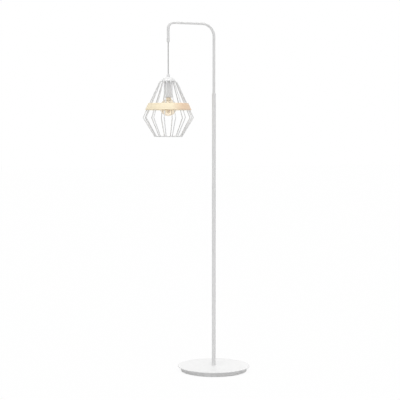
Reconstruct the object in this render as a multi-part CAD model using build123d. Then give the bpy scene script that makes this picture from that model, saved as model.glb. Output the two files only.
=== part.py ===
from build123d import *
import os
from math import acos, asin, atan2, cos, degrees, hypot, radians, sin, sqrt, tan

# A free-standing white floor lamp. A weighted round base carries a slim pole. A thinner bent arm turns in
# the pole's top and drops a short leg, and from that leg a cable carries a diamond-shaped cage of bent
# wires with a wooden band, a lamp holder and a globe bulb.
#
# Millimetres, +Z up. The origin is on the floor, on the pole's axis. The arm reaches out along -X, so the
# cable's axis is at x = -arm_reach. Pieces of the pendant are drawn round Z and moved there at the end.

# ------------------------------------------------------------------------------------- driving dimensions

lamp_height = 1660.0            # floor to the top of the arm
arm_reach = 232.0               # pole axis to cable axis
pole_height = 1325.0            # floor to the pole's upper end
tip_drop = 80.5                 # top of the arm to the lower end of its drop leg
visible_cable = 148.5           # tip bushing to cable gland

# Base
base_height = 25.0
cover_diameter = 344.0
cover_thickness = 2.5
cover_edge_round = 1.0
pan_diameter = 316.0
pan_wall = 1.2
pan_edge_round = 2.0
pad_diameter = 290.0
pad_thickness = 1.5
weight_plate = 8.0              # the casting's top plate
weight_rim = 12.0               # the casting's outer wall
weight_hub_wall = 9.0
weight_rib = 6.0
weight_rib_count = 6
wiring_space_diameter = 54.0    # inside the casting's hub
lead_slot_width = 15.0          # through hub and rim, to the inlet
access_hole_diameter = 71.0
access_plate_diameter = 70.0
base_screw_diameter = 3.0
base_screw_head_diameter = 6.0
base_screw_head_height = 1.2
base_screw_length = 9.0
base_screw_count = 3
plate_screw_circle = 62.0
pan_screw_circle = 296.0
inlet_above_floor = 1.2         # from the pan's floor to the grommet's flange
inlet_bore_diameter = 6.6
grommet_neck_diameter = 10.0
grommet_flange_diameter = 13.0
grommet_flange_thickness = 1.6
washer_diameter = 28.0
washer_thickness = 1.2
thread_diameter = 10.0          # the hollow threaded tubes, their nuts and ferrules
thread_tube_bore = 7.0
lamp_nut_flats = 14.0
lamp_nut_height = 3.0
thread_stick_out = 0.6          # past its nut
terminal_block_length = 20.0
terminal_block_width = 9.0
terminal_block_height = 8.5
terminal_pitch = 6.0
terminal_hole_diameter = 2.2
terminal_entry_height = 3.0     # from the block's underside

# Leads
lead_diameter = 5.0
core_diameter = 1.5
core_pitch = 1.6
core_bend_radius = 2.0          # centreline
core_drop = 3.0                 # a core's straight run out of the threaded tube
core_run_in = 6.0               # its straight run in front of its terminal
core_seat = 2.0                 # length of core inside its terminal

# Pole
pole_diameter = 18.0
pole_wall = 1.0
pole_joint_height = 675.0       # where the two lengths meet
foot_ferrule_length = 24.0
joint_ferrule_length = 28.0
thread_grip = 18.0              # length of threaded tube inside a ferrule
bush_length = 50.0
bush_lip = 1.2
bush_ledge_height = 3.0
bush_ledge_bore = 8.0

# Arm
arm_diameter = 12.7
arm_wall = 1.2
pole_bend_radius = 60.0         # centreline, above the pole
tip_bend_radius = 28.0          # centreline, above the cable
stem_length = 24.0              # the turned foot below the arm tube
stem_spigot = 18.0              # its reduced end, pressed into the arm tube
stem_bore = 6.5
swivel_limit = 150.0            # degrees each way
groove_width = 3.4
groove_depth = 1.6
groove_height = 11.0            # from the stem's foot to the groove's middle
stop_screw_diameter = 4.0
stop_tip_diameter = 2.6
stop_socket_depth = 1.2
stop_tip_clearance = 0.3        # between screw tip and groove floor
stop_gap_angle = 1.5            # degrees left at the end of the turn
tip_head_diameter = 14.6
tip_head_length = 17.5
tip_straight_length = 12.0
tip_plug_length = 12.0
tip_bore = 6.6
tip_mouth_diameter = 8.2
tip_mouth_depth = 1.6
cord_stop_diameter = 8.4
cord_stop_length = 12.0
pivot_above_mouth = 1.2         # the cable bends here

# Cage
gland_diameter = 14.2
gland_length = 14.0
gland_chamfer = 1.6
gland_ledge = 6.6               # length of the cable bore above the thread
gland_screw_diameter = 3.0
gland_screw_below_top = 4.0
gland_screw_stick_out = 0.5
gland_slot_width = 0.6
cap_top_diameter = 19.0
cap_diameter = 68.0
cap_dome_radius = 41.0          # its outer face, a sphere's
cap_skirt_length = 3.5
cap_wall = 1.0
cap_nut_flats = 15.0
cap_nut_height = 8.0
wire_count = 14
wire_diameter = 4.2
first_wire_angle = 8.4          # degrees from +X
roof_slope = 30.0               # degrees below level, from the cap to the shoulder
shoulder_radius = 40.6          # all three radii are to the wire's centreline
widest_radius = 117.5
mouth_radius = 63.9
shoulder_drop = 23.5            # below the cap's top
widest_drop = 188.6
mouth_drop = 276.4
wire_bend_radius = 7.0
ring_wire_diameter = 5.0
band_height = 31.5
band_top_drop = 121.6           # below the cap's top
band_thickness = 5.0            # square to its own cone
band_edge_round = 0.8

# Lamp holder
sleeve_diameter = 41.0
sleeve_wall = 0.8
sleeve_mouth_drop = 94.9        # below the cap's top
socket_depth = 34.0             # holder's mouth to the socket's floor
sleeve_shoulder = 12.0          # radius between the sleeve's side and its flat top
holder_mouth_inset = 2.0        # insert to sleeve mouth
holder_floor_thickness = 5.0
holder_chamber_diameter = 24.0
holder_chamber_height = 17.0
holder_boss_diameter = 17.0
holder_roof_thickness = 3.0
holder_chamfer = 6.0
thread_into_holder = 24.0       # below the sleeve's top
shell_bore = 27.0
shell_wall = 0.5
shell_length = 29.0
contact_disc_diameter = 10.0
contact_disc_thickness = 0.6
contact_spring_diameter = 5.0
contact_spring_drop = 2.6
contact_rivet_diameter = 3.0
contact_rivet_head = 6.0
contact_rivet_head_height = 1.2
terminal_screw_diameter = 3.0
terminal_screw_head = 5.0
terminal_screw_head_height = 2.0
terminal_screw_offset = 8.0
cable_into_holder = 8.0         # past the end of the threaded tube

# Bulb
globe_diameter = 80.0
globe_wall = 0.8
globe_neck_diameter = 27.0
globe_neck_flare = 16.0         # radius between neck and globe
bulb_length = 119.5             # contact to the globe's end
bulb_cap_diameter = 26.2
bulb_cap_wall = 0.4
bulb_cap_length = 21.0
bulb_cap_shoulder = 2.0
bulb_cap_top_diameter = 18.0
insulator_height = 3.3
insulator_top_diameter = 10.4
bulb_contact_diameter = 9.2
bulb_contact_height = 1.5
neck_into_cap = 8.0
stem_neck_diameter = 15.0
stem_collar_diameter = 20.0
stem_collar_drop = 24.0         # below the stem's sealed rim
stem_collar_thickness = 2.0
stem_rod_diameter = 2.4
filament_length = 56.0
filament_diameter = 2.0
filament_circle = 15.0
filament_count = 4
hub_thickness = 1.0

# Fits
thread_fit = 0.05               # radial, threaded tube in nut, ferrule or holder
press_fit = 0.02                # radial, what is pressed in and stays
slide_fit = 0.1                 # radial, loose pieces that never turn
running_fit = 0.05              # radial, arm in its bush and cable in its gland
face_gap = 0.1                  # between faces that move on each other
weld_gap = 0.05                 # what is welded or wedged, drawn just apart
pan_fit = 0.3                   # casting in the pan

# -------------------------------------------------------------------------------------------- small tools


def turned(*points):
    """A solid of revolution round Z, from (radius, height) corners."""
    return revolve(make_face(Polyline([(r, 0, z) for r, z in points], close=True)), Axis.Z)


def tube(outer, inner, bottom, top):
    """A straight tube round Z. Diameters and heights."""
    return turned((inner / 2, bottom), (outer / 2, bottom), (outer / 2, top), (inner / 2, top))


def rod(diameter, bottom, top):
    """A straight round bar on Z."""
    return turned((0, bottom), (diameter / 2, bottom), (diameter / 2, top), (0, top))


def back_bar(diameter, inner, outer, height):
    """A round bar level with that height, from one distance behind Z to another, towards +Y."""
    return Pos(0, 0, height) * Rot(-90, 0, 0) * rod(diameter, inner, outer)


def hex_nut(flats, bore, bottom, top):
    """A six-sided nut round Z."""
    body = extrude(RegularPolygon(flats / 2, 6, major_radius=False), top - bottom)
    return Pos(0, 0, bottom) * body - rod(bore, bottom, top)


def run(*points):
    """Straight edges of an outline, from (radius, height) corners."""
    return Polyline([(r, 0, z) for r, z in points])


def arc(centre, radius, start, end):
    """An arc of an outline. Degrees from outwards, positive upwards."""
    def at(angle):
        turn = radians(angle)
        return (centre[0] + radius * cos(turn), 0, centre[1] + radius * sin(turn))
    return ThreePointArc(at(start), at((start + end) / 2), at(end))


def spun(*outline):
    """A solid of revolution round Z, from an outline of runs and arcs."""
    return revolve(make_face([edge for part in outline for edge in part.edges()]), Axis.Z)


def rounded(solid, radius, height, fillet_radius):
    """Rounds the circular edges of that radius at that height."""
    edges = [
        edge
        for edge in solid.edges().filter_by(GeomType.CIRCLE)
        if abs(edge.radius - radius) < 1e-3 and abs(edge.center().Z - height) < 1e-3
    ]
    return fillet(edges, fillet_radius)


def round_bar(path, diameter):
    """A round bar along a path."""
    return sweep(Plane(path @ 0, z_dir=path % 0) * Circle(diameter / 2), path=path)


def bearing(radius, reach):
    """Degrees from outwards to a circle's point, from its reach outwards."""
    return degrees(acos(reach / radius))


def leg(radius, offset):
    """How far a circle's point is from its middle one way, from its offset the other way."""
    return sqrt(radius ** 2 - offset ** 2)


def largest(shape):
    """What stays when a cut has left crumbs."""
    return max(shape.solids(), key=lambda solid: solid.volume)


def screw(head_diameter, head_height, diameter, length, clearance=0.0):
    """A countersunk screw on Z that points up, its head's face at z = 0."""
    head = head_diameter / 2 + clearance
    shank = diameter / 2 + clearance
    return turned((0, 0), (head, 0), (shank, head_height), (shank, length), (0, length))


def round_about(count, radius, piece, first=0.0):
    """Copies of a piece, evenly round Z at that radius."""
    return [Rot(0, 0, first + 360 * i / count) * Pos(radius, 0, 0) * piece for i in range(count)]


def group(pieces):
    """Separate solids that share one node."""
    return Compound([solid for piece in pieces for solid in piece.solids()])


nodes = {}


def add(name, shape):
    nodes[name] = shape


def hang(name, shape):
    """Adds a piece of the pendant, drawn round Z, on the cable's axis."""
    moved = Pos(-arm_reach, 0, 0) * shape
    add(name, moved)


# --------------------------------------------------------------------------------------------------- base

pan_bottom = pad_thickness
pan_floor = pan_bottom + pan_wall
cover_bottom = base_height - cover_thickness
weight_underside = cover_bottom - weight_plate      # the ceiling of the wiring space
thread_bore = thread_diameter + 2 * thread_fit
nut_top = weight_underside - washer_thickness
base_thread_bottom = nut_top - lamp_nut_height - thread_stick_out
weight_diameter = pan_diameter - 2 * pan_wall - 2 * pan_fit
rim_of_casting = weight_diameter / 2 - weight_rim


def base_screw(clearance=0.0):
    return screw(
        base_screw_head_diameter, base_screw_head_height, base_screw_diameter, base_screw_length, clearance
    )


def all_base_screws(clearance=0.0):
    """Screws of the access plate, then those of the pan, drawn at the pan's underside."""
    # half a rib's step on, so that the screws miss the ribs, the lead slot and the terminal block
    step_on = 180 / weight_rib_count
    plate = round_about(base_screw_count, plate_screw_circle / 2, base_screw(clearance), step_on)
    pan = round_about(base_screw_count, pan_screw_circle / 2, base_screw(clearance), step_on)
    return [Pos(0, 0, pan_bottom) * one for one in plate + pan]


def base_pan():
    outer = pan_diameter / 2
    inner = outer - pan_wall
    hole = access_hole_diameter / 2
    pan = turned(
        (hole, pan_bottom), (outer, pan_bottom), (outer, cover_bottom),
        (inner, cover_bottom), (inner, pan_floor), (hole, pan_floor),
    )
    pan = rounded(pan, outer, pan_bottom, pan_edge_round)
    pan -= back_bar(grommet_neck_diameter + 2 * slide_fit, rim_of_casting, pan_diameter, inlet_height)
    for one in all_base_screws(slide_fit):
        pan -= one
    return pan


def base_access_plate():
    plate = rod(access_plate_diameter, pan_bottom, pan_floor)
    for one in all_base_screws(slide_fit):
        plate -= one
    return plate


def base_weight():
    hub_inner = wiring_space_diameter / 2
    hub_outer = hub_inner + weight_hub_wall
    rim_outer = weight_diameter / 2
    bottom = pan_floor
    height = weight_underside - bottom
    plate = tube(weight_diameter, thread_bore, weight_underside, cover_bottom)
    rim = tube(weight_diameter, 2 * rim_of_casting, bottom, weight_underside)
    hub = tube(2 * hub_outer, wiring_space_diameter, bottom, weight_underside)
    # a rib runs from the middle of the hub's wall to the middle of the rim
    rib_start = (hub_inner + hub_outer) / 2
    rib_end = (rim_of_casting + rim_outer) / 2
    rib = Box(rib_end - rib_start, weight_rib, height, align=(Align.MIN, Align.CENTER, Align.MIN))
    rib = Pos(rib_start, 0, bottom) * rib
    casting = plate + rim + hub
    for one in round_about(weight_rib_count, 0, rib):
        casting += one
    slot = Box(lead_slot_width, pan_diameter / 2, height, align=(Align.CENTER, Align.MIN, Align.MIN))
    casting -= Pos(0, hub_inner - weight_hub_wall, bottom) * slot
    # a pocket clears the grommet's inner flange
    casting -= back_bar(grommet_flange_diameter + 2 * pan_fit, rim_of_casting, pan_diameter, inlet_height)
    for one in all_base_screws(press_fit):
        casting -= one
    return casting


def base_cover():
    top = base_height
    cover = tube(cover_diameter, thread_bore, cover_bottom, top)
    return rounded(cover, cover_diameter / 2, top, cover_edge_round)


def inlet_grommet():
    """Rubber bush in the pan's wall, at the back, for the mains lead."""
    neck = grommet_neck_diameter / 2
    flange = grommet_flange_diameter / 2
    bore = inlet_bore_diameter / 2
    wall = pan_wall + flange_sag
    body = turned(
        (bore, 0), (flange, 0), (flange, grommet_flange_thickness), (neck, grommet_flange_thickness),
        (neck, grommet_flange_thickness + wall), (flange, grommet_flange_thickness + wall),
        (flange, 2 * grommet_flange_thickness + wall), (bore, 2 * grommet_flange_thickness + wall),
    )
    # the turned shape's own axis points out of the back of the lamp
    inner_face = pan_diameter / 2 - pan_wall - flange_sag - grommet_flange_thickness
    return Pos(0, inner_face, inlet_height) * Rot(-90, 0, 0) * body


# a flat flange against a round wall stands off by the depth of the arc under it
flange_radius = grommet_flange_diameter / 2
flange_sag = pan_diameter / 2 - leg(pan_diameter / 2, flange_radius)
inlet_height = pan_floor + flange_radius + inlet_above_floor

# the block's far side touches the hub
block_back = -leg(wiring_space_diameter / 2 - slide_fit, terminal_block_length / 2)
block_front = block_back + terminal_block_width
core_height = pan_floor + terminal_entry_height


def terminal_block():
    bottom = pan_floor
    block = Pos(0, (block_front + block_back) / 2, bottom + terminal_block_height / 2) * Box(
        terminal_block_length, terminal_block_width, terminal_block_height
    )
    for place in (-terminal_pitch, 0, terminal_pitch):
        way_in = Pos(place, block_front, core_height) * Rot(90, 0, 0)
        block -= way_in * Cylinder(terminal_hole_diameter / 2, 2 * core_seat)
        screw_hole = Pos(place, (block_front + block_back) / 2, bottom + terminal_block_height)
        block -= screw_hole * Cylinder(terminal_hole_diameter / 2, terminal_block_height / 2)
    return block


def lead_cores():
    """The three cores, from the lead's stripped end into the terminal block."""
    cores = []
    for step in (-1, 0, 1):
        path = FilletPolyline(
            (step * core_pitch, 0, base_thread_bottom),
            (step * core_pitch, 0, base_thread_bottom - core_drop),
            (step * terminal_pitch, block_front + core_run_in, core_height),
            (step * terminal_pitch, block_front - core_seat, core_height),
            radius=core_bend_radius,
        )
        cores.append(round_bar(path, core_diameter))
    return group(cores)


add("foot_pad", rod(pad_diameter, 0, pad_thickness))
add("base_access_plate", base_access_plate())
add("base_screws", group(all_base_screws()))
add("base_pan", base_pan())
add("base_weight", base_weight())
add("base_cover", base_cover())
add("inlet_grommet", inlet_grommet())
add("base_washer", tube(washer_diameter, thread_bore, nut_top, weight_underside))
add("base_nut", hex_nut(lamp_nut_flats, thread_bore, nut_top - lamp_nut_height, nut_top))
add("terminal_block", terminal_block())
add("lead_cores", lead_cores())

# --------------------------------------------------------------------------------------------------- pole

pole_bore = pole_diameter - 2 * pole_wall
ferrule_diameter = pole_bore - 2 * press_fit
stem_foot = pole_height - bush_length + bush_ledge_height + face_gap
groove_middle = stem_foot + groove_height
bush_bore = arm_diameter + 2 * running_fit


def stop_screw_hole():
    """Through pole wall and bush, at the back, level with the groove."""
    return back_bar(stop_screw_diameter + 2 * slide_fit, 0, pole_diameter, groove_middle)


def pole_top_bush():
    """The arm's bearing: a reducer in the pole's top, with a thin lip over the tube's end."""
    bottom = pole_height - bush_length
    ledge_top = bottom + bush_ledge_height
    body = turned(
        (bush_ledge_bore / 2, bottom), (ferrule_diameter / 2, bottom),
        (ferrule_diameter / 2, pole_height), (pole_diameter / 2, pole_height),
        (pole_diameter / 2, pole_height + bush_lip), (bush_bore / 2, pole_height + bush_lip),
        (bush_bore / 2, ledge_top), (bush_ledge_bore / 2, ledge_top),
    )
    return body - stop_screw_hole()


def swivel_stop_screw():
    """A grub screw flush with the pole. Its tip runs in the groove of the arm's stem."""
    tip_end = arm_diameter / 2 - groove_depth + stop_tip_clearance
    tip_start = arm_diameter / 2 + slide_fit
    head_end = pole_diameter / 2 - slide_fit
    body = rod(stop_screw_diameter, tip_start, head_end) + rod(stop_tip_diameter, tip_end, tip_start)
    socket = extrude(RegularPolygon(stop_screw_diameter / 4, 6), stop_socket_depth)
    body -= Pos(0, 0, head_end - stop_socket_depth) * socket
    return Pos(0, 0, groove_middle) * Rot(-90, 0, 0) * body


upper_pole = tube(pole_diameter, pole_bore, pole_joint_height, pole_height) - stop_screw_hole()
add("lower_pole", tube(pole_diameter, pole_bore, base_height, pole_joint_height))
add("upper_pole", upper_pole)
add("foot_ferrule", tube(ferrule_diameter, thread_bore, base_height, base_height + foot_ferrule_length))
add("base_nipple", tube(thread_diameter, thread_tube_bore, base_thread_bottom, base_height + thread_grip))
add("joint_ferrules", group([
    tube(ferrule_diameter, thread_bore, pole_joint_height - joint_ferrule_length, pole_joint_height),
    tube(ferrule_diameter, thread_bore, pole_joint_height, pole_joint_height + joint_ferrule_length),
]))
add("joint_nipple", tube(
    thread_diameter, thread_tube_bore, pole_joint_height - thread_grip, pole_joint_height + thread_grip
))
add("pole_top_bush", pole_top_bush())
add("swivel_stop_screw", swivel_stop_screw())
add("pole_lead", rod(lead_diameter, base_thread_bottom, stem_foot - face_gap))

# ---------------------------------------------------------------------------------------------------- arm

arm_level = lamp_height - arm_diameter / 2          # centreline of the arm's level run
tip_height = lamp_height - tip_drop
arm_bore = arm_diameter - 2 * arm_wall
arm_foot = stem_foot + stem_length
tip_mouth = tip_height - tip_head_length
pivot_height = tip_mouth + pivot_above_mouth
cord_stop_bottom = tip_height + tip_plug_length


def arm_line(start, end):
    """The arm's centreline, from a height on the pole's axis to one on the cable's."""
    return FilletPolyline(
        (0, 0, start), (0, 0, arm_level), (-arm_reach, 0, arm_level), (-arm_reach, 0, end),
        radius=[pole_bend_radius, tip_bend_radius],
    )


def arm_tube():
    line = arm_line(arm_foot, tip_height)
    return round_bar(line, arm_diameter) - round_bar(line, arm_bore)


def arm_stem():
    """The arm's turned foot. A groove, broken by one land, lets it turn to the stop on either side."""
    spigot = arm_bore / 2 - press_fit
    outer = arm_diameter / 2
    bore = stem_bore / 2
    body = turned(
        (bore, stem_foot), (outer, stem_foot), (outer, arm_foot), (spigot, arm_foot),
        (spigot, arm_foot + stem_spigot), (bore, arm_foot + stem_spigot),
    )
    floor = outer - groove_depth
    half_tip = degrees(asin(stop_tip_diameter / 2 / (floor + stop_tip_clearance)))
    half_turn = swivel_limit + half_tip + stop_gap_angle
    low = groove_middle - groove_width / 2
    high = groove_middle + groove_width / 2
    past = outer + groove_depth
    section = make_face(Polyline(
        [(floor, 0, low), (past, 0, low), (past, 0, high), (floor, 0, high)], close=True
    ))
    groove = revolve(section, Axis.Z, 2 * half_turn)
    # the groove's middle faces the screw, which is at +Y
    return body - Rot(0, 0, 90 - half_turn) * groove


def tip_bushing():
    """Domed end piece of the drop leg. The cable leaves through its flared mouth."""
    head = tip_head_diameter / 2
    plug = arm_bore / 2 - press_fit
    bore = tip_bore / 2
    mouth = tip_mouth_diameter / 2
    dome_top = tip_height - tip_straight_length
    dome_angle = degrees(asin((dome_top - tip_mouth) / head))
    lip = head * cos(radians(dome_angle))
    return spun(
        run((plug, cord_stop_bottom), (plug, tip_height), (head, tip_height), (head, dome_top)),
        arc((0, dome_top), head, 0, -dome_angle),
        run((lip, tip_mouth), (mouth, tip_mouth), (bore, tip_mouth + tip_mouth_depth),
            (bore, cord_stop_bottom), (plug, cord_stop_bottom)),
    )


add("arm_stem", arm_stem())
add("arm_tube", arm_tube())
hang("tip_bushing", tip_bushing())
hang("cord_stop", tube(
    cord_stop_diameter, lead_diameter + 2 * press_fit,
    cord_stop_bottom + press_fit, cord_stop_bottom + press_fit + cord_stop_length,
))
arm_lead_end = pivot_height + lead_diameter / 2 + face_gap
add("arm_lead", round_bar(arm_line(stem_foot + face_gap, arm_lead_end), lead_diameter))

# -------------------------------------------------------------------------------------------------- cable

gland_top = tip_mouth - visible_cable
cap_top = gland_top - gland_length
sleeve_top = cap_top - cap_wall - cap_nut_height
pendant_thread_bottom = sleeve_top - thread_into_holder
cable_bottom = pendant_thread_bottom - cable_into_holder


def pendant_cable():
    """Straight cable. Its upper end is cupped round the ball that stands for the bend."""
    cup = Pos(0, 0, pivot_height) * Sphere(lead_diameter / 2 + face_gap)
    return rod(lead_diameter, cable_bottom, tip_mouth) - cup


hang("cable_flex", Pos(0, 0, pivot_height) * Sphere(lead_diameter / 2))
hang("pendant_cable", pendant_cable())

# --------------------------------------------------------------------------------------------------- cage

shoulder_height = cap_top - shoulder_drop
widest_height = cap_top - widest_drop
mouth_height = cap_top - mouth_drop
dome_middle = cap_top - leg(cap_dome_radius, cap_top_diameter / 2)
dome_foot = dome_middle + leg(cap_dome_radius, cap_diameter / 2)
cap_bottom = dome_foot - cap_skirt_length
gland_thread_top = gland_top - gland_ledge
gland_screw_height = gland_top - gland_screw_below_top
cable_bore = lead_diameter + 2 * running_fit


def cable_gland():
    side = gland_diameter / 2
    body = turned(
        (thread_bore / 2, cap_top), (side, cap_top), (side, gland_top - gland_chamfer),
        (side - gland_chamfer, gland_top), (cable_bore / 2, gland_top),
        (cable_bore / 2, gland_thread_top), (thread_bore / 2, gland_thread_top),
    )
    return body - back_bar(gland_screw_diameter + 2 * thread_fit, 0, gland_diameter, gland_screw_height)


def gland_screw():
    inner = lead_diameter / 2 + running_fit + thread_fit
    outer = gland_diameter / 2 + gland_screw_stick_out
    body = back_bar(gland_screw_diameter, inner, outer, gland_screw_height)
    slot = Box(gland_screw_diameter, 2 * gland_screw_stick_out, gland_slot_width)
    return body - Pos(0, outer, gland_screw_height) * slot


def cage_cap():
    """A spun cap: a flat top for the gland, a dome, and a short skirt that the wires are welded to."""
    flat = cap_top_diameter / 2
    side = cap_diameter / 2
    bore = thread_bore / 2
    middle = (0, dome_middle)
    inner_side = side - cap_wall
    inner_dome = cap_dome_radius - cap_wall
    inner_foot = dome_middle + leg(inner_dome, inner_side)
    under = cap_top - cap_wall
    inner_flat = leg(inner_dome, under - dome_middle)
    return spun(
        run((bore, cap_top), (flat, cap_top)),
        arc(middle, cap_dome_radius, bearing(cap_dome_radius, flat), bearing(cap_dome_radius, side)),
        run((side, dome_foot), (side, cap_bottom), (inner_side, cap_bottom), (inner_side, inner_foot)),
        arc(middle, inner_dome, bearing(inner_dome, inner_side), bearing(inner_dome, inner_flat)),
        run((inner_flat, under), (bore, under), (bore, cap_top)),
    )


def cage_wire():
    """One bent wire in the XZ plane, cut to the cap's skirt at its top and to the ring at its foot."""
    start_radius = cap_diameter / 2 - wire_diameter
    start_height = shoulder_height + (shoulder_radius - start_radius) * tan(radians(roof_slope))
    line = FilletPolyline(
        (start_radius, 0, start_height),
        (shoulder_radius, 0, shoulder_height),
        (widest_radius, 0, widest_height),
        (mouth_radius, 0, mouth_height),
        radius=wire_bend_radius,
    )
    skirt = rod(cap_diameter + 2 * weld_gap, cap_bottom - wire_diameter, cap_top)
    ring = Pos(0, 0, mouth_height) * Torus(mouth_radius, ring_wire_diameter / 2 + weld_gap)
    wire = largest(round_bar(line, wire_diameter) - skirt)
    return largest(wire - ring)


def flank_radius(height):
    """Centreline radius of the wires between shoulder and widest point."""
    share = (shoulder_height - height) / (shoulder_height - widest_height)
    return shoulder_radius + share * (widest_radius - shoulder_radius)


def wood_band():
    """A conical ring of wood, wedged on the wires from above."""
    spread = widest_radius - shoulder_radius
    fall = shoulder_height - widest_height
    square_to_level = hypot(spread, fall) / fall    # from a thickness to its level width
    top = cap_top - band_top_drop
    bottom = top - band_height
    out = (wire_diameter / 2 + weld_gap) * square_to_level
    wide = band_thickness * square_to_level
    inner_top = flank_radius(top) + out
    inner_bottom = flank_radius(bottom) + out
    band = turned(
        (inner_bottom, bottom), (inner_bottom + wide, bottom), (inner_top + wide, top), (inner_top, top)
    )
    for radius, height in ((inner_bottom + wide, bottom), (inner_top + wide, top)):
        band = rounded(band, radius, height, band_edge_round)
    return band


hang("cable_gland", cable_gland())
hang("gland_screw", gland_screw())
hang("pendant_nipple", tube(
    thread_diameter, thread_tube_bore, pendant_thread_bottom, gland_thread_top - thread_stick_out
))
hang("cap_nut", hex_nut(cap_nut_flats, thread_bore, sleeve_top, sleeve_top + cap_nut_height))
hang("cage_cap", cage_cap())
hang("cage_wires", group(round_about(wire_count, 0, cage_wire(), first_wire_angle)))
hang("cage_bottom_ring", Pos(0, 0, mouth_height) * Torus(mouth_radius, ring_wire_diameter / 2))
hang("wood_band", wood_band())

# -------------------------------------------------------------------------------------------- lamp holder

sleeve_mouth = cap_top - sleeve_mouth_drop
sleeve_bore = sleeve_diameter - 2 * sleeve_wall
holder_mouth = sleeve_mouth + holder_mouth_inset
socket_floor = holder_mouth + socket_depth          # faces down, towards the bulb
chamber_bottom = socket_floor + holder_floor_thickness
chamber_top = chamber_bottom + holder_chamber_height
contact_bottom = socket_floor - contact_disc_thickness - contact_spring_drop


def holder_sleeve():
    """The white can round the lamp holder, clamped between the cap's nut and the insert's boss."""
    outer = sleeve_diameter / 2
    inner = sleeve_bore / 2
    turn = (outer - sleeve_shoulder, sleeve_top - sleeve_shoulder)
    under = sleeve_top - sleeve_wall
    bore = thread_bore / 2
    return spun(
        run((inner, turn[1]), (inner, sleeve_mouth), (outer, sleeve_mouth), (outer, turn[1])),
        arc(turn, sleeve_shoulder, 0, 90),
        run((turn[0], sleeve_top), (bore, sleeve_top), (bore, under), (turn[0], under)),
        arc(turn, sleeve_shoulder - sleeve_wall, 90, 0),
    )


def holder_body():
    """Insulating insert: the socket below, a wiring chamber, and a boss on the threaded tube."""
    outer = sleeve_bore / 2 - slide_fit
    bore = shell_bore / 2 + shell_wall + slide_fit
    chamber = holder_chamber_diameter / 2
    boss = holder_boss_diameter / 2
    rivet = contact_rivet_diameter / 2 + press_fit
    side_top = chamber_top + holder_roof_thickness
    body = turned(
        (bore, holder_mouth), (outer, holder_mouth), (outer, side_top),
        (outer - holder_chamfer, side_top + holder_chamfer), (boss, side_top + holder_chamfer),
        (boss, sleeve_top - sleeve_wall), (thread_bore / 2, sleeve_top - sleeve_wall),
        (thread_bore / 2, chamber_top), (chamber, chamber_top), (chamber, chamber_bottom),
        (rivet, chamber_bottom), (rivet, socket_floor), (bore, socket_floor),
    )
    for hole in terminal_screws(press_fit):
        body -= hole
    return body


def terminal_screws(clearance=0.0):
    """The two wiring screws on the chamber's floor, one each side of the axis."""
    head = terminal_screw_head / 2
    shank = terminal_screw_diameter / 2 + clearance
    foot = chamber_bottom - holder_floor_thickness / 2
    one = turned(
        (0, foot), (shank, foot), (shank, chamber_bottom), (head, chamber_bottom),
        (head, chamber_bottom + terminal_screw_head_height), (0, chamber_bottom + terminal_screw_head_height),
    )
    return round_about(2, terminal_screw_offset, one)


def holder_contact():
    """Centre contact: a sprung disc riveted through the socket's floor."""
    rivet = contact_rivet_diameter / 2
    head = contact_rivet_head / 2
    disc = contact_disc_diameter / 2
    spring = contact_spring_diameter / 2
    disc_bottom = socket_floor - contact_disc_thickness
    head_top = chamber_bottom + contact_rivet_head_height
    return turned(
        (0, contact_bottom), (spring, contact_bottom), (spring, disc_bottom), (disc, disc_bottom),
        (disc, socket_floor), (rivet, socket_floor), (rivet, chamber_bottom), (head, chamber_bottom),
        (head, head_top), (0, head_top),
    )


hang("holder_sleeve", holder_sleeve())
hang("holder_body", holder_body())
hang("holder_screw_shell", tube(
    shell_bore + 2 * shell_wall, shell_bore, socket_floor - shell_length, socket_floor
))
hang("holder_contact", holder_contact())
hang("holder_terminal_screws", group(terminal_screws()))

# --------------------------------------------------------------------------------------------------- bulb

bulb_top = contact_bottom - face_gap
insulator_top = bulb_top - bulb_contact_height
bulb_cap_top = insulator_top - insulator_height
bulb_cap_shoulder_height = bulb_cap_top - bulb_cap_shoulder
bulb_rim = bulb_cap_shoulder_height - bulb_cap_length
globe_middle = bulb_top - bulb_length + globe_diameter / 2
seal_top = bulb_rim + neck_into_cap
neck_in_cap = bulb_cap_diameter / 2 - bulb_cap_wall - press_fit
collar_top = seal_top - stem_collar_drop
filament_top = collar_top - stem_collar_thickness
hub_top = filament_top - filament_length


def bulb_cap():
    outer = bulb_cap_diameter / 2
    inner = outer - bulb_cap_wall
    top = bulb_cap_top_diameter / 2
    seat = top - bulb_cap_shoulder
    return turned(
        (inner, bulb_rim), (outer, bulb_rim), (outer, bulb_cap_shoulder_height), (top, bulb_cap_top),
        (seat, bulb_cap_top), (seat, bulb_cap_top - bulb_cap_wall),
        (top - bulb_cap_wall / 2, bulb_cap_top - bulb_cap_wall), (inner, bulb_cap_shoulder_height),
    )


def bulb_glass():
    """Globe and neck, blown in one: two arcs that meet smoothly, with a hollow inside."""
    ball = globe_diameter / 2
    neck = globe_neck_diameter / 2
    reach = neck + globe_neck_flare
    rise = leg(ball + globe_neck_flare, reach)
    lean = degrees(atan2(rise, reach))              # where globe and flare meet
    middle = (0, globe_middle)
    flare = (reach, globe_middle + rise)
    step = bulb_rim - face_gap
    inside = neck_in_cap - globe_wall
    return spun(
        arc(middle, ball, -90, lean),
        arc(flare, globe_neck_flare, 180 + lean, 180),
        run((neck, flare[1]), (neck, step), (neck_in_cap, step), (neck_in_cap, seal_top),
            (inside, seal_top), (inside, bulb_rim), (neck - globe_wall, flare[1])),
        arc(flare, globe_neck_flare + globe_wall, 180, 180 + lean),
        arc(middle, ball - globe_wall, lean, -90),
        run((0, globe_middle - ball + globe_wall), (0, globe_middle - ball)),
    )


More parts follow.
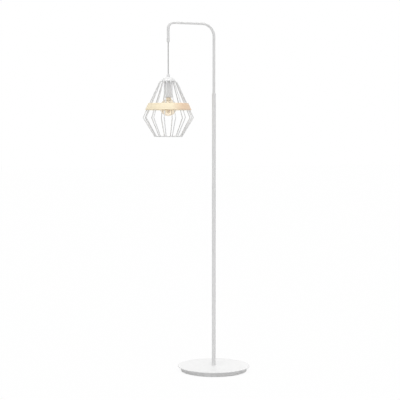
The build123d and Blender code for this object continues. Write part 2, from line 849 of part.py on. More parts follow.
def bulb_stem():
    """Glass stem: sealed into the neck, with a collar that holds the filaments and a central rod."""
    rim = neck_in_cap - globe_wall - press_fit
    neck = stem_neck_diameter / 2
    collar = stem_collar_diameter / 2
    glass_rod = stem_rod_diameter / 2
    flare_height = rim - neck
    return turned(
        (0, seal_top), (rim, seal_top), (neck, seal_top - flare_height), (neck, collar_top),
        (collar, collar_top), (collar, filament_top), (glass_rod, filament_top), (glass_rod, hub_top),
        (0, hub_top),
    )


def insulator():
    foot = bulb_cap_top_diameter / 2
    top = insulator_top_diameter / 2
    return turned((0, bulb_cap_top), (foot, bulb_cap_top), (top, insulator_top), (0, insulator_top))


def bulb_contact():
    edge = bulb_contact_diameter / 2
    side = insulator_top + bulb_contact_height / 2
    return turned(
        (0, insulator_top), (edge, insulator_top), (edge, side), (edge / 2, bulb_top), (0, bulb_top)
    )


filament = rod(filament_diameter, hub_top, filament_top)
hub_diameter = filament_circle + 2 * filament_diameter
hang("bulb_cap", bulb_cap())
hang("bulb_insulator", insulator())
hang("bulb_contact", bulb_contact())
hang("bulb_glass", bulb_glass())
hang("bulb_stem", bulb_stem())
hang("bulb_filaments", group(round_about(filament_count, filament_circle / 2, filament)))
hang("filament_hub", rod(hub_diameter, hub_top - hub_thickness, hub_top))

# -------------------------------------------------------------------------------------------------- write

os.makedirs("parts", exist_ok=True)
for node_name, node_shape in nodes.items():
    export_step(node_shape, os.path.join("parts", node_name + ".step"))

# The cable runs straight, so it has no bends to list. Inside the arm the lead follows the arm's own bends.
print("lead bends, radius in mm:", pole_bend_radius, tip_bend_radius)
print("cable, mouth of the tip to its end in the holder:", round(tip_mouth - cable_bottom, 1))
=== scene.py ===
from math import atan2, cos, hypot, pi, radians, sin, tan

import bmesh
import bpy
from mathutils import Matrix, Vector


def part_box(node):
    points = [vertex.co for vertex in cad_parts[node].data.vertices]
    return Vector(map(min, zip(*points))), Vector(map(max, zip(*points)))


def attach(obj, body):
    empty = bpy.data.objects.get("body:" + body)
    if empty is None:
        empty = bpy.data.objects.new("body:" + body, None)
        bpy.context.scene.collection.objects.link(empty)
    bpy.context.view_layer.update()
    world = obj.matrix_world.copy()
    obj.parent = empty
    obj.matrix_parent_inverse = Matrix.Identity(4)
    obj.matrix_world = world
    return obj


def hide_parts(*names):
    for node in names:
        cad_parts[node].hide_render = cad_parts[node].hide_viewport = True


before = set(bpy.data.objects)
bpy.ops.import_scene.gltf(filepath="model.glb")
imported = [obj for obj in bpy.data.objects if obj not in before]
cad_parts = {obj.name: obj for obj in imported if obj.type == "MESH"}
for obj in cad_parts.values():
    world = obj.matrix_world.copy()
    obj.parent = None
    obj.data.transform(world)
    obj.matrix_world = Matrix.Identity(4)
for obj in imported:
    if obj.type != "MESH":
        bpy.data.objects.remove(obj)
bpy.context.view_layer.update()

# Metres, in the lamp's own frame: the floor is z = 0, the pole stands on the origin, the arm reaches out
# along -X, and +Y is the back.

# ------------------------------------------------------------------------------------ the lamp's own sizes

CAP_LOW, CAP_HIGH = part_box("cage_cap")
CAP_RADIUS = (CAP_HIGH.x - CAP_LOW.x) / 2
RING_LOW, RING_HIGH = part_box("cage_bottom_ring")
RING_WIRE = RING_HIGH.z - RING_LOW.z
RING_RADIUS = (RING_HIGH.x - RING_LOW.x - RING_WIRE) / 2        # to its wire's middle

CABLE_X = (CAP_LOW.x + CAP_HIGH.x) / 2
CABLE_DIAMETER = 0.005

WIRE_COUNT = 14
WIRE_DIAMETER = 0.0042
WIRE_BEND = 0.007               # radius on the centreline
FIRST_WIRE = radians(8.4)       # from +X
ROOF_SLOPE = radians(30)        # of the short stretch from cap to shoulder
WELD = 0.0028                   # radius of a weld under the coating
END_GAP = WELD * 0.1            # from the cap's skirt to the wire's upper end
UPPER_WELD_SINK = WELD * 0.15   # from that end into the skirt
UPPER_WELD_LIFT = WELD * 0.25   # and upwards
LOWER_WELD_RISE = WELD * 0.8    # from the ring's middle along the wire

# The wire's lower three corners on its centreline, as radius and height
SHOULDER = Vector((0.0406, 0, CAP_HIGH.z - 0.0235))
WIDEST = Vector((0.1175, 0, CAP_HIGH.z - 0.1886))
MOUTH = Vector((RING_RADIUS, 0, (RING_HIGH.z + RING_LOW.z) / 2))

HOOP_LOW, HOOP_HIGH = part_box("wood_band")
HOOP_GIRTH = pi * (HOOP_HIGH.x - HOOP_LOW.x)
HOOP_THICKNESS = 0.005          # square to its own cone
HOOP_EDGE = 0.0008              # radius of its rounded edges
HOOP_GAP = 0.00005              # between hoop and wires
HOOP_STEPS = 180                # faces round it
HOOP_SHADE_SPAN = (0.715, 0.80)     # shares of the way round between which the strip turns darker: painted shade on the side away from the light
PLY = 0.00125                   # thickness of one of the hoop's layers

# The bulb's screw cap and its thread, with heights from its rim
SHELL_WALL = 0.0004
SHELL_SHOULDER = 0.002          # height of the sloping top
SHELL_TOP_RADIUS = 0.009
SHELL_SEAT_RADIUS = 0.007
SHELL_LEVELS = 48               # faces from rim to shoulder
SHELL_STEPS = 96                # faces round it
THREAD_PITCH = 0.0036
THREAD_DEPTH = 0.0011
THREAD_START = 0.0080
THREAD_END = 0.0208
THREAD_FADE = 0.0012

FILAMENT_COUNT = 4
FILAMENT_CIRCLE = 0.0075        # radius
FILAMENT_DIAMETER = 0.002
FILAMENT_TAB = 0.0025           # bare metal at either end
TAB_WIDTH = 0.0012
TAB_THICKNESS = 0.0003

SHARP = radians(40)             # an edge that turns more than this isn't shaded smooth

# ------------------------------------------------------------------------------------------------- camera

PHOTO_WIDTH = 400               # pixels, square
FOCAL_PIXELS = 1134
POLE_COLUMN = 213.87            # of the photograph
POLE_DISTANCE = 5.40            # level, from lens to pole
LENS_HEIGHT = 1.144
LENS_TILT = radians(2.73)       # downwards
LENS_SHIFT = -0.035             # share of the picture's width
ARM_TURN = radians(22.6)        # the arm's turn towards the lens


def make_camera():
    forward = Vector((sin(ARM_TURN), cos(ARM_TURN), 0))
    right = Vector((cos(ARM_TURN), -sin(ARM_TURN), 0))
    pole_offset = (POLE_COLUMN - PHOTO_WIDTH / 2) / FOCAL_PIXELS * POLE_DISTANCE
    data = bpy.data.cameras.new("camera")
    data.sensor_width = 36
    data.lens = data.sensor_width * FOCAL_PIXELS / PHOTO_WIDTH
    data.shift_y = LENS_SHIFT
    data.clip_start = 0.1
    data.clip_end = 100
    camera = bpy.data.objects.new("camera", data)
    camera.location = -forward * POLE_DISTANCE - right * pole_offset + Vector((0, 0, LENS_HEIGHT))
    aim = forward * cos(LENS_TILT) - Vector((0, 0, sin(LENS_TILT)))
    camera.rotation_euler = aim.to_track_quat("-Z", "Y").to_euler()
    bpy.context.scene.collection.objects.link(camera)
    bpy.context.scene.camera = camera


# ---------------------------------------------------------------------------------------------- materials


class Finish:
    """One material and the few node patterns that its look needs."""

    def __init__(self, name, color, roughness, metallic=0.0):
        self.material = bpy.data.materials.new(name)
        self.material.use_nodes = True
        self.material.diffuse_color = (*color, 1)
        self.nodes = self.material.node_tree.nodes
        self.links = self.material.node_tree.links
        self.shader = self.nodes["Principled BSDF"]
        self.set(**{"Base Color": (*color, 1), "Roughness": roughness, "Metallic": metallic})
        self.place = self.nodes.new("ShaderNodeTexCoord").outputs["Object"]
        self.bumps = None

    def set(self, **values):
        for socket, value in values.items():
            self.shader.inputs[socket].default_value = value

    def stretched(self, x, y, z, source):
        """A place scaled along each axis."""
        node = self.nodes.new("ShaderNodeMapping")
        node.inputs["Scale"].default_value = (x, y, z)
        self.links.new(source, node.inputs["Vector"])
        return node.outputs["Vector"]

    def part(self, source, axis):
        """One coordinate of a place."""
        node = self.nodes.new("ShaderNodeSeparateXYZ")
        self.links.new(source, node.inputs[0])
        return node.outputs[axis]

    def noise(self, scale, detail=3.0, roughness=0.55, source=None, distortion=0.0):
        node = self.nodes.new("ShaderNodeTexNoise")
        node.inputs["Scale"].default_value = scale
        node.inputs["Detail"].default_value = detail
        node.inputs["Roughness"].default_value = roughness
        node.inputs["Distortion"].default_value = distortion
        self.links.new(source or self.place, node.inputs["Vector"])
        return node.outputs["Fac"]

    def spread(self, source, low, high, start=0.3, end=0.7):
        """A pattern from start to end as numbers from low to high."""
        node = self.nodes.new("ShaderNodeMapRange")
        for socket, value in zip(("From Min", "From Max", "To Min", "To Max"), (start, end, low, high)):
            node.inputs[socket].default_value = value
        self.links.new(source, node.inputs["Value"])
        return node.outputs["Result"]

    def tint(self, source, *stops):
        """Colours along a pattern, as (place, colour) stops."""
        node = self.nodes.new("ShaderNodeValToRGB")
        ramp = node.color_ramp.elements
        while len(ramp) < len(stops):
            ramp.new(0.5)
        for element, (place, color) in zip(ramp, stops):
            element.position = place
            element.color = (*color, 1)
        self.links.new(source, node.inputs["Fac"])
        return node.outputs["Color"]

    def blend(self, kind, factor, first, second):
        node = self.nodes.new("ShaderNodeMix")
        node.data_type = "RGBA"
        node.blend_type = kind
        node.inputs["Factor"].default_value = factor
        self.links.new(first, node.inputs["A"])
        self.links.new(second, node.inputs["B"])
        return node.outputs["Result"]

    def stripes(self, source, period):
        """From 0 to 1 and back over each period of a coordinate."""
        node = self.nodes.new("ShaderNodeMath")
        node.operation = "PINGPONG"
        node.inputs[1].default_value = period / 2
        self.links.new(source, node.inputs[0])
        return self.spread(node.outputs[0], 0, 1, 0, period / 2)

    def feed(self, socket, source):
        self.links.new(source, self.shader.inputs[socket])

    def bump(self, source, depth, strength):
        """Adds relief of that depth in metres on what is there."""
        node = self.nodes.new("ShaderNodeBump")
        node.inputs["Distance"].default_value = depth
        node.inputs["Strength"].default_value = strength
        self.links.new(source, node.inputs["Height"])
        if self.bumps:
            self.links.new(self.bumps, node.inputs["Normal"])
        self.bumps = node.outputs["Normal"]
        self.feed("Normal", self.bumps)


def powder_coat():
    coat = Finish("white_powder_coat", (0.77, 0.77, 0.77), 0.42)
    coat.set(**{"Coat Weight": 0.12, "Coat Roughness": 0.28})
    cloud = coat.noise(9, detail=4)
    coat.feed("Base Color", coat.tint(cloud, (0.3, (0.76, 0.76, 0.758)), (0.7, (0.785, 0.785, 0.784))))
    coat.feed("Roughness", coat.spread(coat.noise(60), 0.37, 0.47))
    coat.bump(coat.noise(1100, detail=2), 0.00003, 0.5)
    return coat.material


def holder_enamel():
    enamel = Finish("white_enamel", (0.86, 0.86, 0.865), 0.24)
    enamel.set(**{"Coat Weight": 0.3, "Coat Roughness": 0.12})
    enamel.feed("Roughness", enamel.spread(enamel.noise(90), 0.2, 0.3))
    enamel.bump(enamel.noise(500, detail=1), 0.00002, 0.4)
    return enamel.material


def bent_wood(name, pale, shaded_tone, ply=None):
    """Wood whose U runs with the grain, in metres round the hoop, and whose V runs across it, with painted
    shade darkening it part of the way round.
    """
    wood = Finish(name, pale, 0.5)
    wood.set(**{"Coat Weight": 0.1, "Coat Roughness": 0.4})
    along = wood.nodes.new("ShaderNodeUVMap")
    along.uv_map = "grain"
    grain = along.outputs["UV"]
    # painted shade: past the given share of the way round, the tone moves from the pale lit tone to the
    # darker shaded tone, for the side of the hoop turned away from the light
    painted_shade = wood.spread(wood.part(grain, "X"), 0, 1, *(HOOP_GIRTH * share for share in HOOP_SHADE_SPAN))
    broad = wood.noise(1, detail=5, roughness=0.6, source=wood.stretched(7, 120, 1, grain), distortion=0.4)
    fibre = wood.noise(1, detail=6, roughness=0.7, source=wood.stretched(26, 1500, 1, grain))
    pores = wood.noise(1, detail=2, source=wood.stretched(120, 3200, 1, grain))
    ground = wood.tint(painted_shade, (0, pale), (1, shaded_tone))
    clouds = wood.tint(broad, (0.3, (0.96, 0.945, 0.92)), (0.6, (1.0, 1.0, 1.0)))
    threads = wood.tint(fibre, (0.3, (0.93, 0.91, 0.87)), (0.6, (1.0, 1.0, 1.0)))
    flecks = wood.tint(pores, (0.33, (0.80, 0.74, 0.66)), (0.42, (1.0, 1.0, 1.0)))
    figured = wood.blend("MULTIPLY", 0.7, wood.blend("MULTIPLY", 0.7, ground, clouds), threads)
    color = wood.blend("MULTIPLY", 0.5, figured, flecks)
    if ply:
        layers = wood.stripes(wood.part(grain, "Y"), ply)
        glue_lines = wood.tint(layers, (0.1, (0.62, 0.50, 0.36)), (0.35, (1.0, 1.0, 1.0)))
        color = wood.blend("MULTIPLY", 0.7, color, glue_lines)
    wood.feed("Base Color", color)
    wood.feed("Roughness", wood.spread(fibre, 0.42, 0.58))
    wood.bump(fibre, 0.00006, 0.5)
    wood.bump(pores, 0.00008, 0.3)
    return wood.material


def hoop_face():
    # the second colour is painted shade, for the side of the hoop away from the light
    return bent_wood("pale_bent_wood", (0.99, 0.88, 0.66), (0.90, 0.69, 0.50))


def hoop_edge():
    """The hoop's edges show its layers as fine lines."""
    # the second colour is painted shade, for the side of the hoop away from the light
    return bent_wood("ply_edge", (0.95, 0.83, 0.58), (0.80, 0.62, 0.44), PLY)


def tinted_glass(name, color, roughness):
    glass = Finish(name, color, roughness)
    glass.set(**{"Transmission Weight": 1.0, "IOR": 1.45})
    return glass


def amber_glass():
    glass = tinted_glass("amber_glass", (0.93, 0.865, 0.765), 0.01)
    glass.bump(glass.noise(25, detail=1), 0.0004, 0.15)
    return glass.material


def clear_glass():
    glass = tinted_glass("clear_glass", (0.97, 0.95, 0.91), 0.02)
    glass.bump(glass.noise(120, detail=1), 0.0003, 0.25)
    return glass.material


def phosphor():
    stick = Finish("filament_phosphor", (0.94, 0.83, 0.60), 0.6)
    stick.set(**{"Subsurface Weight": 0.2, "Subsurface Radius": (0.001, 0.0006, 0.0002)})
    grit = stick.noise(1800, detail=2)
    stick.feed("Base Color", stick.tint(grit, (0.3, (0.90, 0.77, 0.52)), (0.7, (0.96, 0.86, 0.64))))
    stick.bump(grit, 0.00005, 0.6)
    return stick.material


def metal(name, color, roughness, wear):
    """A plated or machined metal, whose tone and gloss vary a little."""
    plate = Finish(name, color, roughness, metallic=1.0)
    tool = plate.noise(260, detail=4)
    dark = tuple(channel * (1 - wear) for channel in color)
    plate.feed("Base Color", plate.tint(tool, (0.3, dark), (0.65, color)))
    plate.feed("Roughness", plate.spread(tool, roughness + 0.1, roughness - 0.06))
    plate.bump(tool, 0.00002, 0.4)
    return plate.material


def cast_iron():
    iron = Finish("cast_iron", (0.07, 0.07, 0.075), 0.72, metallic=0.6)
    sand = iron.noise(420, detail=5)
    iron.feed("Base Color", iron.tint(sand, (0.3, (0.045, 0.043, 0.042)), (0.7, (0.11, 0.105, 0.1))))
    iron.feed("Roughness", iron.spread(sand, 0.6, 0.85))
    iron.bump(sand, 0.0003, 0.7)
    return iron.material


def felt():
    pad = Finish("grey_felt", (0.30, 0.30, 0.31), 0.95)
    pad.set(**{"Sheen Weight": 0.5, "Sheen Roughness": 0.6})
    fibres = pad.noise(700, detail=6, roughness=0.75, distortion=1.5)
    pad.feed("Base Color", pad.tint(fibres, (0.3, (0.20, 0.20, 0.21)), (0.7, (0.40, 0.40, 0.41))))
    pad.bump(fibres, 0.0005, 0.8)
    return pad.material


def soft_plastic(name, color, roughness, grain, depth):
    """Moulded plastic or rubber with a fine even texture."""
    mould = Finish(name, color, roughness)
    skin = mould.noise(grain, detail=3)
    darker = tuple(channel * 0.93 for channel in color)
    mould.feed("Base Color", mould.tint(skin, (0.3, darker), (0.7, color)))
    mould.feed("Roughness", mould.spread(skin, roughness - 0.06, roughness + 0.06))
    mould.bump(skin, depth, 0.4)
    return mould.material


WHITE = powder_coat()
ENAMEL = holder_enamel()
WOOD = hoop_face()
PLY_EDGE = hoop_edge()
AMBER = amber_glass()
CLEAR = clear_glass()
PHOSPHOR = phosphor()
BRASS = metal("brass", (0.72, 0.52, 0.25), 0.3, 0.25)
ZINC = metal("zinc_plate", (0.66, 0.67, 0.68), 0.32, 0.2)
IRON = cast_iron()
FELT = felt()
CABLE = soft_plastic("cable_jacket", (0.52, 0.52, 0.52), 0.48, 900, 0.00003)
RUBBER = soft_plastic("grommet_rubber", (0.70, 0.70, 0.69), 0.7, 1200, 0.00004)
BLOCK = soft_plastic("terminal_plastic", (0.72, 0.70, 0.64), 0.5, 800, 0.00003)
CORE = soft_plastic("core_insulation", (0.16, 0.20, 0.34), 0.4, 900, 0.00002)
CERAMIC = soft_plastic("holder_insert", (0.66, 0.65, 0.61), 0.55, 700, 0.00004)
BLACK = soft_plastic("bulb_insulator", (0.015, 0.015, 0.017), 0.15, 300, 0.00002)

NODE_FINISH = {
    WHITE: (
        "base_cover", "base_pan", "lower_pole", "upper_pole", "pole_top_bush", "swivel_stop_screw",
        "arm_tube", "tip_bushing", "cage_cap", "cage_bottom_ring", "cage_wires",
    ),
    ENAMEL: ("holder_sleeve", "cable_gland"),
    ZINC: (
        "base_access_plate", "base_screws", "base_washer", "base_nut", "base_nipple", "foot_ferrule",
        "joint_ferrules", "joint_nipple", "arm_stem", "pendant_nipple", "cap_nut", "gland_screw",
        "bulb_contact",
    ),
    BRASS: (
        "cord_stop", "holder_screw_shell", "holder_contact", "holder_terminal_screws", "bulb_cap",
        "filament_hub",
    ),
    IRON: ("base_weight",),
    FELT: ("foot_pad",),
    RUBBER: ("inlet_grommet",),
    BLOCK: ("terminal_block",),
    CORE: ("lead_cores",),
    CABLE: ("pole_lead", "arm_lead", "pendant_cable", "cable_flex"),
    CERAMIC: ("holder_body",),
    BLACK: ("bulb_insulator",),
    AMBER: ("bulb_glass",),
    CLEAR: ("bulb_stem",),
    PHOSPHOR: ("bulb_filaments",),
    WOOD: ("wood_band",),
}


def finish_nodes():
    for material, names in NODE_FINISH.items():
        for name in names:
            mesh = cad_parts[name].data
            mesh.materials.clear()
            mesh.materials.append(material)


# --------------------------------------------------------------------------------------------- small tools


def new_object(name, data):
    piece = bpy.data.objects.new(name, data)
    bpy.context.scene.collection.objects.link(piece)
    return piece


class Tree:
    """A Geometry Nodes tree with named inputs, written one node to a line."""

    def __init__(self, name):
        self.group = bpy.data.node_groups.new(name, "GeometryNodeTree")
        self.inputs = {}
        self.group.interface.new_socket("Geometry", in_out="INPUT", socket_type="NodeSocketGeometry")
        self.group.interface.new_socket("Geometry", in_out="OUTPUT", socket_type="NodeSocketGeometry")
        self.entry = self.group.nodes.new("NodeGroupInput")
        self.exit = self.group.nodes.new("NodeGroupOutput")

    def size(self, name, value, kind="NodeSocketFloat"):
        """A named input and the value that the piece gives it. Returns its socket."""
        socket = self.group.interface.new_socket(name, in_out="INPUT", socket_type=kind)
        self.inputs[socket.identifier] = value
        return self.entry.outputs[name]

    def node(self, kind, settings=None, **links):
        made = self.group.nodes.new(kind)
        for key, value in (settings or {}).items():
            setattr(made, key, value)
        for key, value in links.items():
            self.feed(made.inputs[key.replace("_", " ")], value)
        return made

    def feed(self, socket, value):
        if isinstance(value, bpy.types.NodeSocket):
            self.group.links.new(value, socket)
        else:
            socket.default_value = value

    def math(self, operation, *values):
        node = self.node("ShaderNodeMath", {"operation": operation})
        for socket, value in zip(node.inputs, values):
            self.feed(socket, value)
        return node.outputs[0]

    def join(self, *parts):
        node = self.node("GeometryNodeJoinGeometry")
        for part in parts:
            self.feed(node.inputs[0], part.outputs[0])
        return node

    def out(self, geometry, material):
        """Ends the tree in plain geometry with that material."""
        real = self.node("GeometryNodeRealizeInstances", Geometry=geometry)
        smooth = self.node("GeometryNodeSetShadeSmooth", Geometry=real.outputs[0])
        chosen = self.size("Finish", material, "NodeSocketMaterial")
        done = self.node("GeometryNodeSetMaterial", Geometry=smooth.outputs[0], Material=chosen)
        self.group.links.new(done.outputs[0], self.exit.inputs[0])

    def make(self, name, host=None):
        """Runs the tree and returns its result as a plain mesh piece."""
        source = new_object(name + "_tree", host or bpy.data.meshes.new(name + "_host"))
        modifier = source.modifiers.new(self.group.name, "NODES")
        modifier.node_group = self.group
        for identifier, value in self.inputs.items():
            modifier[identifier] = value
        graph = bpy.context.evaluated_depsgraph_get()
        mesh = bpy.data.meshes.new_from_object(source.evaluated_get(graph), depsgraph=graph)
        source.modifiers.remove(modifier)
        bpy.data.objects.remove(source)
        mesh.name = name
        return new_object(name, mesh)


def dress(piece, body, slot, *nodes):
    """Says what the piece rides on and which solids it stands for. The slot argument is not used."""
    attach(piece, body)
    if nodes:
        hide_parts(*nodes)


# ----------------------------------------------------------------------------------- room, floor and lamps

ROOM_LIGHT = 0.30               # level of the room on the lamp
FLOOR_SHOWS_WHITE = 0.95        # share of the floor's look that is plain white
FLOOR_HALF_WIDTH = 30
LIGHT_WIDTH = radians(60)       # the angle that a lamp fills
OVERHEAD_LIGHT = 2.05
FRONT_LIGHT = 0.85


def camera_sees(nodes, links):
    """1 for the camera's own rays, and for what gloss and glass show of the background."""
    path = nodes.new("ShaderNodeLightPath")
    total = path.outputs["Is Camera Ray"]
    for name in ("Is Glossy Ray", "Is Transmission Ray"):
        larger = nodes.new("ShaderNodeMath")
        larger.operation = "MAXIMUM"
        links.new(total, larger.inputs[0])
        links.new(path.outputs[name], larger.inputs[1])
        total = larger.outputs[0]
    return total


def make_room():
    world = bpy.data.worlds.new("studio")
    bpy.context.scene.world = world
    world.use_nodes = True
    nodes = world.node_tree.nodes
    links = world.node_tree.links
    nodes.clear()
    lit = nodes.new("ShaderNodeBackground")
    lit.inputs["Color"].default_value = (1, 1, 1, 1)
    lit.inputs["Strength"].default_value = ROOM_LIGHT
    seen = nodes.new("ShaderNodeBackground")
    seen.inputs["Color"].default_value = (1, 1, 1, 1)
    seen.inputs["Strength"].default_value = 1.0
    choice = nodes.new("ShaderNodeMixShader")
    end = nodes.new("ShaderNodeOutputWorld")
    links.new(camera_sees(nodes, links), choice.inputs["Fac"])
    links.new(lit.outputs[0], choice.inputs[1])
    links.new(seen.outputs[0], choice.inputs[2])
    links.new(choice.outputs[0], end.inputs["Surface"])


def make_floor():
    half = FLOOR_HALF_WIDTH
    mesh = bpy.data.meshes.new("floor")
    corners = [(-half, -half, 0), (half, -half, 0), (half, half, 0), (-half, half, 0)]
    mesh.from_pydata(corners, [], [(0, 1, 2, 3)])
    floor = new_object("floor", mesh)
    material = bpy.data.materials.new("studio_floor")
    material.use_nodes = True
    nodes = material.node_tree.nodes
    links = material.node_tree.links
    nodes.clear()
    plain = nodes.new("ShaderNodeBsdfDiffuse")
    plain.inputs["Color"].default_value = (0.8, 0.8, 0.8, 1)
    glow = nodes.new("ShaderNodeEmission")
    glow.inputs["Strength"].default_value = 1.0
    share = nodes.new("ShaderNodeMath")
    share.operation = "MULTIPLY"
    share.inputs[1].default_value = FLOOR_SHOWS_WHITE
    choice = nodes.new("ShaderNodeMixShader")
    end = nodes.new("ShaderNodeOutputMaterial")
    links.new(camera_sees(nodes, links), share.inputs[0])
    links.new(share.outputs[0], choice.inputs["Fac"])
    links.new(plain.outputs[0], choice.inputs[1])
    links.new(glow.outputs[0], choice.inputs[2])
    links.new(choice.outputs[0], end.inputs["Surface"])
    mesh.materials.append(material)


def soft_light(name, direction, strength):
    """A broad even light from that direction."""
    data = bpy.data.lights.new(name, "SUN")
    data.angle = LIGHT_WIDTH
    data.energy = strength
    lamp = bpy.data.objects.new(name, data)
    lamp.rotation_euler = Vector(direction).to_track_quat("Z", "Y").to_euler()
    bpy.context.scene.collection.objects.link(lamp)


def make_lights():
    soft_light("overhead", (0, 0, 1), OVERHEAD_LIGHT)
    soft_light("from_front", (-0.25, -0.6, 0.75), FRONT_LIGHT)


# ------------------------------------------------------------------------------------------------ the cord


def hanging_cable():
    """The taut cable from the arm's tip to the cage, one smooth straight spline."""
    low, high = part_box("pendant_cable")
    top, bottom = high.z, low.z
    near_end = 6 * CABLE_DIAMETER
    heights = (top, top - near_end, (top + bottom) / 2, bottom + near_end, bottom)
    data = bpy.data.curves.new("hanging_cable", "CURVE")
    data.dimensions = "3D"
    line = data.splines.new("NURBS")
    line.points.add(len(heights) - 1)
    for point, height in zip(line.points, heights):
        point.co = (CABLE_X, 0, height, 1)
    line.order_u = 3
    line.use_endpoint_u = True
    line.resolution_u = 12
    data.bevel_depth = CABLE_DIAMETER / 2
    data.bevel_resolution = 8
    data.use_fill_caps = True
    data.materials.append(CABLE)
    cable = new_object("hanging_cable", data)
    dress(cable, "cable", "cable", "pendant_cable")


# ------------------------------------------------------------------------------------------------ the cage


def on_cable_axis(mesh):
    mesh.transform(Matrix.Translation((CABLE_X, 0, 0)))


def wire_line():
    """The wire's corners as a curve, from the cap's skirt over shoulder and widest point to the ring."""
    start = CAP_RADIUS + END_GAP
    top = Vector((start, 0, SHOULDER.z + (SHOULDER.x - start) * tan(ROOF_SLOPE)))
    data = bpy.data.curves.new("wire_line", "CURVE")
    data.dimensions = "3D"
    spline = data.splines.new("POLY")
    corners = (top, SHOULDER, WIDEST, MOUTH)
    spline.points.add(len(corners) - 1)
    for point, corner in zip(spline.points, corners):
        point.co = (*corner, 1)
    return data, top


def bent_bar(tree):
    """The host's line with its corners bent and the wire's round section on it."""
    radius = tree.size("Wire radius", WIRE_DIAMETER / 2)
    bend = tree.size("Bend radius", WIRE_BEND)
    line = tree.node(
        "GeometryNodeFilletCurve", {"mode": "POLY"},
        Curve=tree.entry.outputs["Geometry"], Radius=bend, Count=10,
    )
    profile = tree.node("GeometryNodeCurvePrimitiveCircle", Resolution=24, Radius=radius)
    return tree.node(
        "GeometryNodeCurveToMesh",
        Curve=line.outputs[0], Profile_Curve=profile.outputs[0], Fill_Caps=True,
    )


def weld_beads(tree, top):
    """A bead where the wire meets the cap's skirt and another where it meets the ring."""
    radius = tree.size("Weld radius", WELD)
    upper = top + Vector((-UPPER_WELD_SINK, 0, UPPER_WELD_LIFT))
    lower = MOUTH + (WIDEST - MOUTH).normalized() * LOWER_WELD_RISE
    bead = tree.node("GeometryNodeMeshIcoSphere", Radius=radius, Subdivisions=3)
    beads = []
    for name, place in (("Upper weld", upper), ("Lower weld", lower)):
        spot = tree.size(name, tuple(place), "NodeSocketVector")
        beads.append(tree.node("GeometryNodeTransform", Geometry=bead.outputs[0], Translation=spot))
    return beads


def round_the_cable(tree, one):
    """Repeats one wire round the cable, in even turns from the first wire's angle."""
    count = tree.size("Wires", WIRE_COUNT, "NodeSocketInt")
    first = tree.size("First angle", FIRST_WIRE)
    axis = tree.size("Cable axis", (CABLE_X, 0, 0), "NodeSocketVector")
    spots = tree.node("GeometryNodeMeshLine", Count=count, Offset=(0, 0, 0))
    index = tree.node("GeometryNodeInputIndex")
    step = tree.math("DIVIDE", 2 * pi, count)
    turn = tree.math("MULTIPLY_ADD", index.outputs[0], step, first)
    angles = tree.node("ShaderNodeCombineXYZ", Z=turn)
    around = tree.node(
        "GeometryNodeInstanceOnPoints",
        Points=spots.outputs[0], Instance=one.outputs[0], Rotation=angles.outputs[0],
    )
    return tree.node("GeometryNodeTransform", Geometry=around.outputs[0], Translation=axis)


def bent_wires():
    """All wires of the cage with their welds: one bent wire, repeated round the cable."""
    line, top = wire_line()
    tree = Tree("bent_wire_cage")
    one = tree.join(bent_bar(tree), *weld_beads(tree, top))
    placed = round_the_cable(tree, one)
    tree.out(placed.outputs[0], WHITE)
    dress(tree.make("bent_wires", line), "cage", "white_coat", "cage_wires")


def rounded(corners, radius, steps=5):
    """A closed outline through corners, each rounded to that radius."""
    outline = []
    for index, corner in enumerate(corners):
        before = (corners[index - 1] - corner).normalized()
        after = (corners[(index + 1) % len(corners)] - corner).normalized()
        half_angle = before.angle(after) / 2
        reach = radius / tan(half_angle)
        middle = corner + (before + after).normalized() * radius / sin(half_angle)
        first = corner + before * reach - middle
        last = corner + after * reach - middle
        start = atan2(first.y, first.x)
        sweep = (atan2(last.y, last.x) - start + pi) % (2 * pi) - pi
        for step in range(steps + 1):
            angle = start + sweep * step / steps
            outline.append(middle + Vector((cos(angle), sin(angle))) * radius)
    return outline


def round_skin(name, outline, around, radius_at=None, girth=0.0):
    """Turns a closed outline of radius and height round the cable. Its map gives metres round and along."""
    mesh = bmesh.new()
    grain = mesh.loops.layers.uv.new("grain")
    rings = []
    for turn in range(around):
        angle = 2 * pi * turn / around
        ring = []
        for plain, height in outline:
            radius = radius_at(plain, height, angle) if radius_at else plain
            ring.append(mesh.verts.new((radius * cos(angle), radius * sin(angle), height)))
        rings.append(ring)
    count = len(outline)
    along = [0.0]
    for index in range(count):
        along.append(along[-1] + (Vector(outline[(index + 1) % count]) - Vector(outline[index])).length)
    for turn in range(around):
        ring = rings[turn]
        following = rings[(turn + 1) % around]
        for index in range(count):
            after = (index + 1) % count
            face = mesh.faces.new((ring[index], following[index], following[after], ring[after]))
            face.smooth = True
            for loop, (u, v) in zip(face.loops, ((0, 0), (1, 0), (1, 1), (0, 1))):
                loop[grain].uv = (girth * (turn + u) / around, along[index + v])
    bmesh.ops.recalc_face_normals(mesh, faces=mesh.faces)
    for edge in mesh.edges:
        edge.smooth = edge.calc_face_angle() < SHARP
    data = bpy.data.meshes.new(name)
    mesh.to_mesh(data)
    mesh.free()
    on_cable_axis(data)
    return data


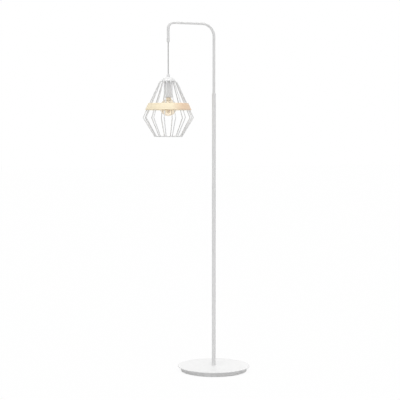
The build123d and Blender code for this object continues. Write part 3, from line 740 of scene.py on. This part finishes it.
def wood_hoop():
    """The conical hoop of bent wood, with rounded edges that show its layers."""
    spread = WIDEST.x - SHOULDER.x
    fall = SHOULDER.z - WIDEST.z
    lean = spread / fall                                # outwards for each metre down
    square = hypot(spread, fall) / fall                 # from thickness to level width
    wide = HOOP_THICKNESS * square
    inset = lean * (HOOP_HIGH.z - HOOP_LOW.z)
    outer = SHOULDER.x + (SHOULDER.z - HOOP_LOW.z) * lean + (WIRE_DIAMETER / 2 + HOOP_GAP) * square + wide
    outline = rounded((
        Vector((outer, HOOP_LOW.z)), Vector((outer - inset, HOOP_HIGH.z)),
        Vector((outer - inset - wide, HOOP_HIGH.z)), Vector((outer - wide, HOOP_LOW.z)),
    ), HOOP_EDGE)
    data = round_skin("wood_hoop", outline, HOOP_STEPS, girth=HOOP_GIRTH)
    data.materials.append(WOOD)
    data.materials.append(PLY_EDGE)
    faces_to_a_side = len(outline) // 4
    for face in data.polygons:
        place = face.index % len(outline)
        on_face = place in (faces_to_a_side - 1, 3 * faces_to_a_side - 1)
        face.material_index = 0 if on_face else 1
    hoop = new_object("wood_hoop", data)
    dress(hoop, "cage", "birch", "wood_band")


# ------------------------------------------------------------------------------------------------ the bulb


def screw_cap():
    """The bulb's screw cap: a thin shell whose rolled thread fades out at both ends."""
    low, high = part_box("bulb_cap")
    outer = (high.x - low.x) / 2
    shoulder = high.z - SHELL_SHOULDER
    rise = shoulder - low.z
    levels = [low.z + rise * step / SHELL_LEVELS for step in range(SHELL_LEVELS + 1)]

    def rolled(radius, height, angle):
        above_rim = height - low.z
        share = min(above_rim - THREAD_START, THREAD_END - above_rim) / THREAD_FADE
        wave = (1 + cos(2 * pi * height / THREAD_PITCH + angle)) / 2
        return radius - THREAD_DEPTH * wave * min(max(share, 0), 1)

    outline = [(outer, level) for level in levels]
    outline += [
        (SHELL_TOP_RADIUS, high.z), (SHELL_SEAT_RADIUS, high.z), (SHELL_SEAT_RADIUS, high.z - SHELL_WALL),
        (SHELL_TOP_RADIUS - SHELL_WALL / 2, high.z - SHELL_WALL),
    ]
    outline += [(outer - SHELL_WALL, level) for level in reversed(levels)]
    data = round_skin("screw_cap", outline, SHELL_STEPS, rolled)
    data.materials.append(BRASS)
    cap = new_object("screw_cap", data)
    dress(cap, "bulb", "brass", "bulb_cap")


def round_the_stem(tree, part, middle):
    """Repeats a part for each filament and sets the set at that height on the cable's axis."""
    count = tree.size("Filaments", FILAMENT_COUNT, "NodeSocketInt")
    circle = tree.size("Circle radius", FILAMENT_CIRCLE)
    place = tree.size("Middle", (CABLE_X, 0, middle), "NodeSocketVector")
    spots = tree.node("GeometryNodeMeshCircle", Vertices=count, Radius=circle)
    around = tree.node("GeometryNodeInstanceOnPoints", Points=spots.outputs[0], Instance=part.outputs[0])
    return tree.node("GeometryNodeTransform", Geometry=around.outputs[0], Translation=place)


def filament_sticks(middle, length):
    """The coated sticks of the filaments, which leave both ends bare."""
    tree = Tree("filament_sticks")
    radius = tree.size("Filament radius", FILAMENT_DIAMETER / 2)
    coated = tree.size("Coated length", length - 2 * FILAMENT_TAB)
    stick = tree.node("GeometryNodeMeshCylinder", Vertices=24, Radius=radius, Depth=coated)
    tree.out(round_the_stem(tree, stick, middle).outputs[0], PHOSPHOR)
    dress(tree.make("filament_sticks"), "bulb", "phosphor", "bulb_filaments")


def filament_strips(middle, length):
    """The metal strip inside each filament, which ends it above and below."""
    tree = Tree("filament_strips")
    size = tree.size("Strip", (TAB_WIDTH, TAB_THICKNESS, length), "NodeSocketVector")
    strip = tree.node("GeometryNodeMeshCube", Size=size)
    tree.out(round_the_stem(tree, strip, middle).outputs[0], BRASS)
    dress(tree.make("filament_strips"), "bulb", "brass")


def filaments():
    low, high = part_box("bulb_filaments")
    middle = (low.z + high.z) / 2
    length = high.z - low.z
    filament_sticks(middle, length)
    filament_strips(middle, length)


# ------------------------------------------------------------------------------------------------ assembly

make_camera()
make_room()
make_floor()
make_lights()
finish_nodes()
hanging_cable()
bent_wires()
wood_hoop()
screw_cap()
filaments()

bpy.context.scene.view_settings.view_transform = "Standard"
